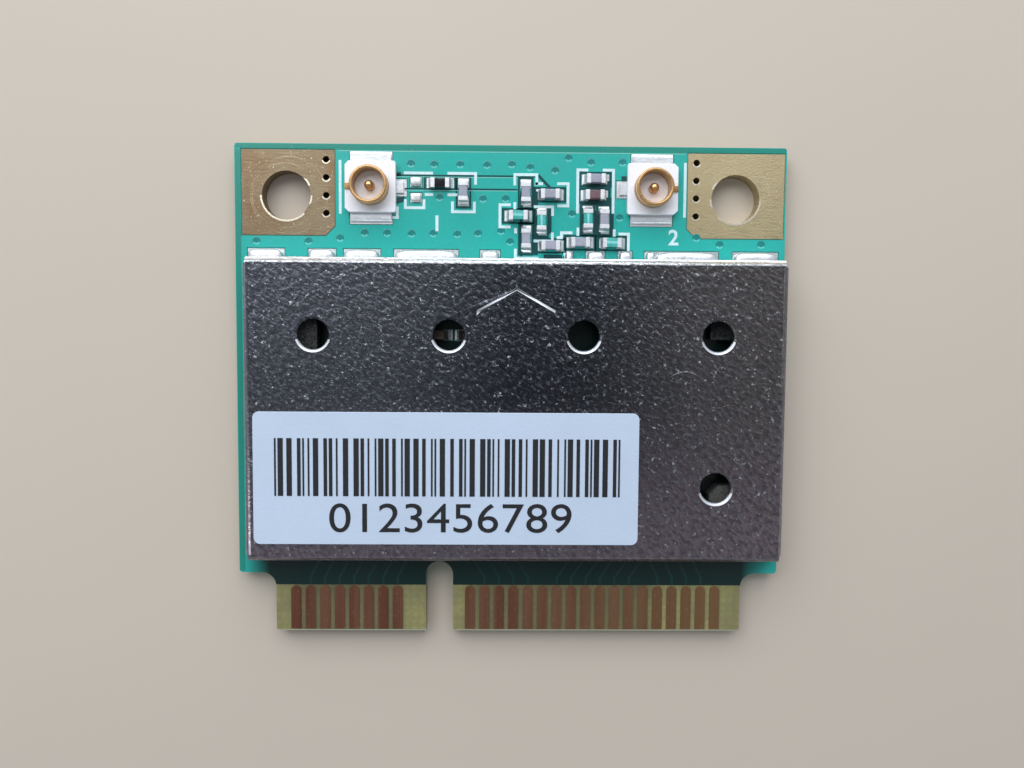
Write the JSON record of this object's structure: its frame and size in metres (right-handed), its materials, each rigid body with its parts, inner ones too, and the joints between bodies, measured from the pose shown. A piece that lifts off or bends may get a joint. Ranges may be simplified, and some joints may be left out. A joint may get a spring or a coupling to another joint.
{
  "type": "laptop wifi card",
  "caption": "Half-size mini card for a laptop: green circuit board with a keyed edge connector, a folded metal shield can with a label, and coaxial antenna receptacles.",
  "frame": {"origin": "middle of the card's outline, on its flat underside", "axes": "+X along the edge connector towards the large tongue, +Y towards the antenna end, +Z out of the component side"},
  "size_m": [0.0296, 0.0266, 0.0027],
  "materials": {
    "laminate": "bare glass-epoxy, satin",
    "solder_mask": "glossy green resin",
    "gold_plating": "thin gold over copper, satin",
    "contact_plating": "worn gold over copper",
    "tin": "tinned, satin",
    "shield_sheet": "nickel silver, mottled",
    "label_film": "white label stock",
    "print_ink": "black print",
    "white_resin": "moulded liquid-crystal polymer",
    "chip_ceramic": "fired ceramic",
    "inductor_coat": "green glaze",
    "resistor_glass": "black glass",
    "chip_mould": "moulded epoxy, fine matt",
    "lead_frame": "tinned copper alloy",
    "ferrite": "sintered ferrite"
  },
  "bodies": {
    "root": {"circuit_board": "laminate", "barrel_plating": "gold_plating", "left_ground_land": "gold_plating", "right_ground_land": "gold_plating", "top_solder_mask": "solder_mask", "bottom_solder_mask": "solder_mask", "top_edge_contacts": "contact_plating", "bottom_edge_contacts": "contact_plating", "top_solder_lands": "tin", "shield_can": "shield_sheet", "shield_solder_joints": "tin", "label": "label_film", "label_print": "print_ink", "left_antenna_insulator": "white_resin", "left_antenna_shell": "gold_plating", "left_antenna_contact": "gold_plating", "right_antenna_insulator": "white_resin", "right_antenna_shell": "gold_plating", "right_antenna_contact": "gold_plating", "antenna_solder_joints": "tin", "feed_resistor": "resistor_glass", "feed_capacitor": "chip_ceramic", "left_series_capacitor": "chip_ceramic", "left_dc_block_capacitor": "chip_ceramic", "left_shunt_inductor": "inductor_coat", "left_series_inductor": "inductor_coat", "left_shunt_capacitor": "chip_ceramic", "left_output_capacitor": "chip_ceramic", "right_output_capacitor": "chip_ceramic", "right_dc_block_capacitor": "chip_ceramic", "right_series_inductor": "inductor_coat", "right_series_capacitor": "chip_ceramic", "right_shunt_capacitor": "chip_ceramic", "right_shunt_inductor": "inductor_coat", "chip_terminals": "tin", "chip_solder_joints": "tin", "radio_chip": "chip_mould", "radio_chip_leads": "lead_frame", "crystal_base": "chip_ceramic", "crystal_lid": "lead_frame", "memory_chip": "chip_mould", "memory_chip_legs": "lead_frame", "voltage_regulator": "chip_mould", "voltage_regulator_legs": "lead_frame", "power_inductor": "ferrite", "power_inductor_terminals": "lead_frame", "left_front_end_module": "chip_mould", "right_front_end_module": "chip_mould", "front_end_leads": "lead_frame", "left_balun": "chip_ceramic", "right_balun": "chip_ceramic", "balun_terminals": "tin", "inner_capacitors": "chip_ceramic", "inner_resistors": "resistor_glass", "inner_chip_terminals": "tin", "inner_solder_joints": "tin"}
  },
  "joints": []
}
